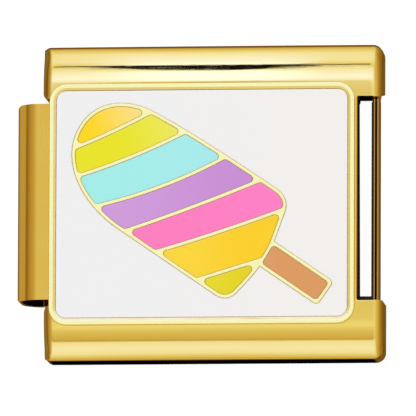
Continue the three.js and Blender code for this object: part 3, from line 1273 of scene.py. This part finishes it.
@dataclass
class PopPicture:
    """The outlines of the ice pop picture, in a frame along the pop's length, in millimetres."""

    centre: Vector = field(default_factory=lambda: Vector((0.139, -0.09)))
    tilt: float = math.radians(-35)
    line_half: float = 0.047
    gap: float = 0.008
    corner: float = 0.1
    stick_start: float = 1.9
    stick_end: float = 4.33
    stick_low: float = -0.485
    stick_high: float = 0.25
    stick_round: float = 0.1
    stick_rise: float = 0.02
    stripes: tuple[Stripe, ...] = (
        Stripe(-3.41, 59, 0.08),
        Stripe(-2.38, 57, 0.09),
        Stripe(-1.05, 56.5, 0.12),
        Stripe(0.01, 55.5, 0.03),
        Stripe(1.17, 53.5, 0.03),
        Stripe(2.6, 52, 0),
    )

    def pop(self) -> list[Vector]:
        """The pop's outline along the middle of its line, anticlockwise."""
        foot, low_end, high_end = Vector((1.8, -1.87)), Vector((2.25, -1.45)), Vector((2.3, 0.19))
        neck, shoulder, back = Vector((2.07, 1.05)), Vector((1.5, 1.5)), Vector((-2.6, 1.32))
        crown, belly = Vector((-4.08, -0.15)), Vector((-1.6, -1.9))
        return [
            *quadratic(foot, Vector((2.22, -1.86)), low_end, 14),
            *quadratic(low_end, Vector((2.42, -0.5)), high_end, 20),
            high_end,
            *quadratic(neck, Vector((1.99, 1.5)), shoulder, 14),
            *quadratic(shoulder, Vector((-1.3, 1.47)), back, 40),
            *cubic(back, Vector((-3.5, 1.22)), Vector((-4.13, 0.65)), crown, 32),
            *cubic(crown, Vector((-4.02, -1.2)), Vector((-2.9, -1.88)), belly, 40),
            belly,
        ]

    def stick(self) -> list[Vector]:
        """The stick's outline along the middle of its line, anticlockwise from inside the pop."""
        high, end, bend = self.stick_high, self.stick_end, self.stick_round
        lifted = self.stick_low + self.stick_rise
        low_corner, low_side = Vector((end, lifted)), Vector((end, lifted + bend))
        high_corner, high_side = Vector((end, high)), Vector((end - bend, high))
        return [
            Vector((self.stick_start, self.stick_low)),
            *quadratic(Vector((end - bend, lifted)), low_corner, low_side, 6),
            low_side,
            *quadratic(Vector((end, high - bend)), high_corner, high_side, 6),
            high_side,
            Vector((self.stick_start, high - self.stick_rise)),
        ]

    def silhouette(self, distance: float) -> list[Vector]:
        """The outline of pop and stick together, moved outwards.

        Args:
            distance: How far it is moved.

        Returns:
            The points, anticlockwise, in the picture's frame.
        """
        pop = grown(self.pop(), distance)
        stick = grown(self.stick(), distance)
        low_index, low_hit = crossing(stick[0], stick[1], pop, 0)
        high_index, high_hit = crossing(stick[-2], stick[-1], pop, 0)
        rest = pop[high_index + 1 :] + pop[: low_index + 1]
        least = 0.12
        clear = [
            point for point in rest if min((point - low_hit).length, (point - high_hit).length) > least
        ]
        return tidy_outline([*clear, low_hit, *stick[1:-1], high_hit])

    def cell(self, index: int) -> list[Vector]:
        """The outline of a coloured cell of the pop, with round corners.

        Args:
            index: The cell's number from the pop's round end.

        Returns:
            The points, anticlockwise.
        """
        margin = self.line_half + self.gap + self.corner
        outline = tidy_outline(grown(self.pop(), -margin))
        if index > 0:
            outline = clipped(outline, self.stripes[index - 1], margin, 1)
        if index < len(self.stripes):
            outline = clipped(outline, self.stripes[index], -margin, -1)
        return rounded_out(tidy_outline(outline), self.corner)

    def stick_cell(self) -> list[Vector]:
        """The outline of the stick's enamel, with round corners, beside the pop's line."""
        margin = self.line_half + self.gap + self.corner
        lifted = self.stick_low + self.stick_rise
        square = [
            Vector((self.stick_start, self.stick_low)),
            Vector((self.stick_end, lifted)),
            Vector((self.stick_end, self.stick_high)),
            Vector((self.stick_start, self.stick_high - self.stick_rise)),
        ]
        inner = grown(square, -margin)
        pop = grown(self.pop(), margin)
        low_index, low_hit = crossing(inner[0], inner[1], pop)
        high_index, high_hit = crossing(inner[-2], inner[-1], pop)
        side = pop[low_index + 1 : high_index + 1]
        outline = [low_hit, *inner[1:-1], high_hit, *reversed(side)]
        return rounded_out(tidy_outline(outline), self.corner)

    def cells(self) -> list[list[Vector]]:
        """The outlines of all cells, from the pop's round end to the stick."""
        return [self.cell(i) for i in range(len(self.stripes) + 1)] + [self.stick_cell()]

    def laid(self, outline: Iterable[Vector]) -> list[Vector]:
        """Turns points of the picture's frame into points of the link's."""
        turn = Matrix.Rotation(self.tilt, 2)
        return [turn @ point + self.centre for point in outline]


@dataclass
class Face:
    """The enamelled face: its tray with rim and raised lines, and its enamels, in millimetres."""

    picture: PopPicture = field(default_factory=PopPicture)
    size: Vector = field(default_factory=lambda: Vector((8.69, 6.89)))
    corner: float = 0.5
    rim_width: float = 0.2
    rim_corner: float = 0.28
    low: float = 2.22
    floor: float = 2.4
    rim_top: float = 2.48
    enamel_top: float = 2.46
    sunk: float = 0.02

    def rectangle(self, inset: float, radius: float) -> list[Vector]:
        """The face's outline, moved inwards, with round corners."""
        half = self.size / 2 - Vector((inset, inset))
        return rounded_rectangle(self.picture.centre - half, self.picture.centre + half, radius)

    def step_in(self, shape: Shape, faces: list, steps: Pairs) -> list:
        """Insets a region again and again, and raises or lowers it each time.

        Args:
            shape: The mesh.
            faces: The region.
            steps: How far each inset goes in and up.

        Returns:
            The region that is left.
        """
        for inward, rise in steps:
            bmesh.ops.inset_region(
                shape, faces=faces, thickness=inward, depth=0, use_boundary=True, use_even_offset=True
            )
            verts = {vert for face in faces for vert in face.verts}
            bmesh.ops.translate(shape, vec=(0, 0, rise), verts=list(verts))
        return faces

    def block(
        self, shape: Shape, faces: list, low: float, high: float, edge: Pairs
    ) -> list:
        """Raises a region to a block whose upper edge is stepped round.

        Args:
            shape: The mesh.
            faces: The region.
            low: The height that it lies at.
            high: The height of the block's top.
            edge: How far each step of the edge goes in and up.

        Returns:
            The block's top.
        """
        top = pull(shape, faces, (0, 0, high - low - sum(rise for _, rise in edge)), keep=True)
        return self.step_in(shape, top, edge)

    def tray(self, material: Material) -> None:
        """Builds the tray: its plate with a beaded rim, and the picture's raised lines."""
        shape = bmesh.new()
        plate = flat_face(shape, self.rectangle(0, self.corner), self.low)
        outer = ((0.006, 0.012), (0.01, 0.007), (0.014, 0.003))
        inner = ((0.065, 0.0), (0.03, -0.006), (0.035, -0.007), (0.03, -0.007), (0.008, -0.02))
        fallen = sum(rise for _, rise in inner)
        top = self.block(shape, [plate], self.low, self.rim_top, outer)
        self.step_in(shape, top, (*inner, (0.002, self.floor - self.rim_top - fallen)))
        lines = self.raised_lines()
        lines.from_mesh(mesh_of(shape))
        Piece("face_plate", "pale_gold", ("face_tray",)).place(mesh_of(lines), material)

    def raised_lines(self) -> Shape:
        """The picture's raised metal: its silhouette with a hole for each cell.

        Returns:
            The closed mesh.
        """
        picture = self.picture
        shape = bmesh.new()
        holes = [grown(cell, picture.gap) for cell in picture.cells()]
        outlines = [picture.silhouette(picture.line_half), *holes]
        low = self.floor - self.sunk
        faces = self.filled(shape, [picture.laid(outline) for outline in outlines], low)
        self.block(shape, faces, low, self.rim_top, ((0.008, 0.007), (0.01, 0.0035), (0.012, 0.0015)))
        return shape

    @staticmethod
    def filled(shape: Shape, outlines: Iterable[Outline], height: float) -> list:
        """Fills the region between outlines.

        Args:
            shape: The mesh.
            outlines: The outer outline and those of the holes.
            height: The height that they lie at.

        Returns:
            The faces.
        """
        edges = []
        for outline in outlines:
            verts = [shape.verts.new((point.x, point.y, height)) for point in outline]
            for i, vert in enumerate(verts):
                edges.append(shape.edges.new((verts[i - 1], vert)))
        made = bmesh.ops.triangle_fill(shape, use_beauty=True, edges=edges, normal=(0, 0, 1))["geom"]
        inner = [edge for edge in only(made, BMEdge) if edge not in set(edges)]
        bmesh.ops.dissolve_limit(
            shape, angle_limit=0.01, use_dissolve_boundaries=False, verts=[], edges=inner
        )
        return [face for face in shape.faces if abs(face.calc_center_median().z - height) < 1e-5]

    def skin(self, outlines: Sequence[Outline]) -> Mesh:
        """Makes one enamel, whose edge falls away where it meets the metal.

        Args:
            outlines: Its outer outline and those of its holes, in the link's frame.

        Returns:
            The mesh.
        """
        shape = bmesh.new()
        low = self.floor + self.picture.gap
        faces = self.filled(shape, outlines, low)
        edge = ((0.008, 0.005), (0.014, 0.003), (0.022, 0.0015), (0.03, 0.0005))
        self.block(shape, faces, low, self.enamel_top, edge)
        return mesh_of(shape)

    def field(self, material: Material) -> None:
        """Builds the white field round the picture."""
        picture = self.picture
        hole = picture.laid(picture.silhouette(picture.line_half + picture.gap))
        inset = self.rim_width + picture.gap
        outlines = [self.rectangle(inset, self.rim_corner - picture.gap), hole]
        Piece("field_white", "white_enamel", ("enamel_white",)).place(self.skin(outlines), material)

    def cells(self, finishes: Sequence[tuple[str, str, Material]]) -> None:
        """Builds the coloured cells.

        Args:
            finishes: For each cell its name, the colour in its slot's name and its material.
        """
        for outline, (name, colour, material) in zip(self.picture.cells(), finishes):
            piece = Piece(f"cell_{name}", f"{colour}_enamel", (f"enamel_{name}",))
            piece.place(self.skin([self.picture.laid(outline)]), material)


# Studio


def warmed(level: float) -> Colour:
    """The colour of a part of the studio at a brightness: dim parts are brown and bright parts white."""
    bright = max(0.0, level - 0.86)
    green = 0.42 + 0.5 * level + 0.3 * max(0.0, level - 0.4) + 0.6 * bright
    blue = 0.08 + 0.75 * level**3 + 7 * bright
    return (level, level * min(green, 1.25), level * min(blue, 2.0))


@dataclass
class Studio:
    """The floor, the soft light round the link and the camera."""

    frame_width: float = 11.782
    aim: Vector = field(default_factory=lambda: Vector((0.325, -0.228, 2.46)))
    aside: float = 0.0931
    below: float = 0.128
    roll: float = math.radians(0.22)
    lens: float = 1200.0
    sensor: float = 36.0
    floor_half: float = 0.6
    lamp_size: float = 0.08
    lamp_power: float = 0.02
    lamp_place: Vector = field(default_factory=lambda: Vector((-0.06, 0.08, 0.18)))
    panels_left: float = 0.092
    panel_ends: Pair = (0.012, 0.038)
    tent_ends: Pair = (0.3, 0.75)
    tent_floor: Pair = (-0.8, -0.9)
    corner_from: Pair = (0.02, 0.06)
    gap_colour: Colour = (0.004, 0.003, 0.002)
    fill_colour: Colour = (0.98, 0.98, 1.0)
    upper: Pairs = (
        (8, 0.68), (12.5, 0.62), (14.5, 0.8), (16, 1.05), (33, 1.15), (39, 0.9), (48, 1.0), (50.5, 1.1),
        (54, 1.0), (71, 0.93), (76, 0.88), (81, 0.76), (87, 0.52), (96, 0.26), (110, 0.18),
    )
    upper_ends: Pairs = (
        (9, 0.68), (12, 0.74), (15, 0.93), (22, 1.0), (40, 0.91), (47, 0.77), (51, 0.84), (56, 0.91),
        (71, 0.89), (81, 0.72), (87, 0.5), (96, 0.26), (110, 0.18),
    )
    lower: Pairs = (
        (-140, 0.0), (-129, 0.14), (-118, 0.4), (-103, 0.66), (-76, 0.63), (-69, 0.76), (-62, 0.9),
        (-51, 0.93), (-41, 0.89), (-38.6, 0.7), (-37.6, 0.36), (-36.4, 0.62), (-30, 0.66), (-21, 0.72),
        (-11, 0.85), (-2, 0.82),
    )
    along: Pairs = (
        (-180, 0.5), (-105, 0.52), (-98, 0.5), (-92, 0.29), (-85, 0.28), (-76, 0.38), (-65, 0.47),
        (-39, 0.56), (-11, 0.62), (0, 0.8), (36, 0.86), (46, 0.78), (57, 0.67), (68, 0.62), (80, 0.53),
        (92, 0.42), (106, 0.35), (123, 0.28), (145, 0.23), (174, 0.18),
    )

    def camera(self) -> None:
        """Sets the camera where the photograph was taken from: a little below the face and to its right."""
        distance = self.frame_width * MM * self.lens / self.sensor
        lens = bpy.data.cameras.new("camera")
        lens.lens = self.lens
        lens.sensor_width = self.sensor
        lens.clip_start = distance / 50
        lens.clip_end = distance * 50
        away = Vector((self.aside, -self.below, 1)).normalized()
        camera = added("camera", lens)
        camera.location = self.aim * MM + away * distance
        camera.rotation_mode = "QUATERNION"
        upward = (Axis.Y.value - away * away.y).normalized()
        turned = Matrix((upward.cross(away), upward, away)).transposed().to_quaternion()
        camera.rotation_quaternion = turned @ Quaternion(Axis.Z.value, self.roll)
        bpy.context.scene.camera = camera

    def floor(self) -> None:
        """Lays the plain pale floor."""
        shape = bmesh.new()
        bmesh.ops.create_grid(shape, x_segments=1, y_segments=1, size=self.floor_half)
        mesh = put_back(shape, bpy.data.meshes.new("floor"))
        material = bpy.data.materials.new("pale floor")
        material.use_nodes = True
        surface = material.node_tree.nodes["Principled BSDF"]
        Sheet.put(surface, {"Base Color": (0.12, 0.12, 0.12, 1), "Emission Color": (1, 1, 1, 1)})
        Sheet.put(surface, {"Roughness": 0.9, "Specular IOR Level": 0.0, "Emission Strength": 0.97})
        mesh.materials.append(material)
        floor = added("floor", mesh)
        floor.visible_glossy = False

    @staticmethod
    def direction_ramp(sheet: Sheet, part: Socket, height: Socket, stops: Sequence) -> Socket:
        """The studio's brightness by a direction's angle from straight up.

        Args:
            sheet: The world's sheet.
            part: The direction's X or Y.
            height: The direction's Z.
            stops: The angle in degrees and the brightness of each stop.

        Returns:
            The colour.
        """
        angle = sheet.sums("ARCTAN2", part, height)
        place = sheet.sums("ADD", sheet.sums("DIVIDE", angle, 2 * math.pi), 0.5)
        return sheet.ramp(place, [(degrees / 360 + 0.5, warmed(level)) for degrees, level in stops])

    @staticmethod
    def lens_gap(sheet: Sheet, beside: Socket, part: Socket, height: Socket) -> Socket:
        """The dark gap between two panels, which is widest in the middle.

        Args:
            sheet: The world's sheet.
            beside: How far a direction is from the middle of the gap.
            part: The direction's Y.
            height: The direction's Z.

        Returns:
            1 in the gap and 0 outside it.
        """
        widest, narrowest, taper, half_length, edge = 11.4, 1.9, 9.3, 0.034, 48.0
        angle = sheet.sums("DEGREES", sheet.sums("ARCTAN2", part, height))
        near = sheet.sums("DIVIDE", beside, half_length)
        narrowing = sheet.sums("MULTIPLY", sheet.sums("MULTIPLY", near, near), taper)
        width = sheet.sums("MAXIMUM", sheet.sums("SUBTRACT", widest, narrowing), narrowest)
        under = sheet.eased(angle, edge + 0.6, edge - 0.4)
        over = sheet.eased(sheet.sums("ADD", angle, width), edge - 0.5, edge + 0.5)
        fading = sheet.eased(beside, 0.06, 0.03)
        weight = sheet.sums("ADD", sheet.sums("MULTIPLY", fading, 0.3), 0.7)
        weight = sheet.sums("MULTIPLY", weight, sheet.eased(beside, 0.15, 0.08))
        return sheet.sums("MULTIPLY", sheet.sums("MULTIPLY", under, over), weight)

    def light(self) -> None:
        """Sets the soft studio light: a tent of panels, dimmer towards the link's two ends."""
        scene = bpy.context.scene
        world = bpy.data.worlds.new("studio")
        world.use_nodes = True
        scene.world = world
        sheet = Sheet(world.node_tree)
        background = world.node_tree.nodes["Background"]
        direction = sheet.add("ShaderNodeSeparateXYZ")
        sheet.wire(sheet.add("ShaderNodeTexCoord").outputs["Generated"], direction.inputs[0])
        x, y, z = direction.outputs
        panels = self.direction_ramp(sheet, y, z, (*self.lower, *self.upper))
        panel_ends = self.direction_ramp(sheet, y, z, (*self.lower, *self.upper_ends))
        ends = self.direction_ramp(sheet, x, z, self.along)
        beside = sheet.sums("ABSOLUTE", sheet.sums("ADD", x, self.panels_left))
        tent = sheet.mix(sheet.eased(beside, *self.panel_ends), panels, panel_ends)
        tent = sheet.mix(self.lens_gap(sheet, beside, y, z), tent, self.gap_colour)
        tent = sheet.mix(sheet.eased(sheet.sums("ABSOLUTE", x), *self.tent_ends), tent, ends)
        below = sheet.eased(z, *self.tent_floor)
        low_corner = sheet.sums("MULTIPLY", below, sheet.eased(beside, *self.corner_from))
        tent = sheet.mix(low_corner, tent, warmed(0.18))
        rays = sheet.add("ShaderNodeLightPath")
        soft = sheet.mix(rays.outputs["Is Diffuse Ray"], tent, self.fill_colour)
        seen = sheet.mix(rays.outputs["Is Camera Ray"], soft, (1.0, 1.0, 1.0))
        sheet.wire(seen, background.inputs["Color"])
        scene.view_settings.view_transform = "Standard"
        scene.view_settings.look = "None"

    def key(self) -> None:
        """Hangs one soft lamp over the face's upper left."""
        lamp = bpy.data.lights.new("key", "AREA")
        lamp.shape = "RECTANGLE"
        lamp.size = lamp.size_y = self.lamp_size
        lamp.energy = self.lamp_power
        holder = added("key", lamp)
        holder.location = self.lamp_place
        holder.rotation_mode = "QUATERNION"
        holder.rotation_quaternion = (-self.lamp_place).to_track_quat("-Z", "Y")
        holder.visible_glossy = False


# The finishes of this link

# The shell's left end, from x -5.0 to -4.2 mm, is painted brown: painted shade standing in for the dark
# reflection on that end.
GOLD = ShadedMetal(
    "polished gold with painted end shade", (1.0, 0.8, 0.36), (1.0, 0.78, 0.33), 0.03, 0.06, 0.02,
    low_x=-5.0, high_x=-4.2, soft=0.16, shade=(0.42, 0.3, 0.12),
)
DRAWN_GOLD = Metal("drawn gold", (1.0, 0.79, 0.34), (0.98, 0.75, 0.3), 0.08, 0.13, 0.05, turn=math.pi / 2)
# The end channel is a darker copy of the drawn gold, as painted shade; inside its groove, between x 5.0 and
# 5.09 mm and below 1.845 mm, it is painted near black as shade.
SHADE_PAINTED_CHANNEL_GOLD = ShadedMetal(
    "channel gold with painted shade", (0.62, 0.4, 0.19), (0.58, 0.36, 0.16), 0.08, 0.13, 0.05, turn=math.pi / 2,
    low_x=5.0, high_x=5.09, top_z=1.845, shade=(0.008, 0.006, 0.004),
)
# The rim top and the raised lines are painted pale cream and mostly diffuse: a painted highlight. Below the
# rim top the colour turns peach and fully metallic: a painted reflection on the rim's inner slope.
PAINTED_HIGHLIGHT_GOLD = ShadedMetal(
    "gold with painted highlight", (1.0, 1.0, 0.58), (1.0, 0.98, 0.54), 0.25, 0.32, 0.02, metallic=0.3,
    low_x=-9.0, high_x=9.0, top_z=2.477, soft=0.003, shade=(1.0, 0.82, 0.46),
)
# The core is painted near black: painted shade for the deep, shadowed block inside the link.
SHADE_PAINTED_STEEL = Metal("steel painted dark as shade", (0.05, 0.04, 0.035), (0.02, 0.016, 0.014), 0.25, 0.4, 0.1)
WHITE = Enamel("white enamel", painted("f0f1f4"), painted("f4f1f0"), -0.004, 0.009, 0.01)


def enamel(word: str, deep: str, pale: str, start_x: float, reach: float) -> Enamel:
    """An enamel between two screen colours."""
    return Enamel(f"{word} enamel", painted(deep), painted(pale), start_x, reach)


# Each cell's name, the colour in its slot's name, and its enamel
CELLS = (
    ("orange", "orange", enamel("orange", "ffd800", "fde38c", -0.0032, 0.002)),
    ("lime", "lime", enamel("lime", "ebe614", "f0f07a", -0.0026, 0.0036)),
    ("cyan", "cyan", enamel("cyan", "a0efec", "a6ebf2", -0.003, 0.005)),
    ("lilac", "lilac", enamel("lilac", "cf98de", "c88ad8", -0.0024, 0.004)),
    ("pink", "pink", enamel("pink", "ff78c2", "ff7ac8", -0.0015, 0.004)),
    ("yellow", "yellow", enamel("yellow", "fdd732", "fdd01a", -0.0005, 0.002)),
    ("lime_tip", "lime", enamel("deep lime", "e6dc14", "e6d214", 0.0, 0.002)),
    ("stick", "tan", enamel("tan", "d9a078", "de9860", 0.0017, 0.0006)),
)


def main() -> None:
    """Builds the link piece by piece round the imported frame."""
    logging.basicConfig(level=logging.INFO, format="%(message)s")
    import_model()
    studio = Studio()
    studio.camera()
    studio.floor()
    studio.light()
    studio.key()
    effects = Effects()
    gold = GOLD.material(effects)
    drawn_gold = DRAWN_GOLD.material(effects)
    Shell().build(gold)
    Hook().build(drawn_gold)
    Core().build(SHADE_PAINTED_STEEL.material(effects))
    EndBar().build(SHADE_PAINTED_CHANNEL_GOLD.material(effects))
    face = Face()
    face.tray(PAINTED_HIGHLIGHT_GOLD.material(effects))
    face.field(WHITE.material(effects))
    face.cells([(name, colour, finish.material(effects)) for name, colour, finish in CELLS])


if __name__ == "__main__":
    main()
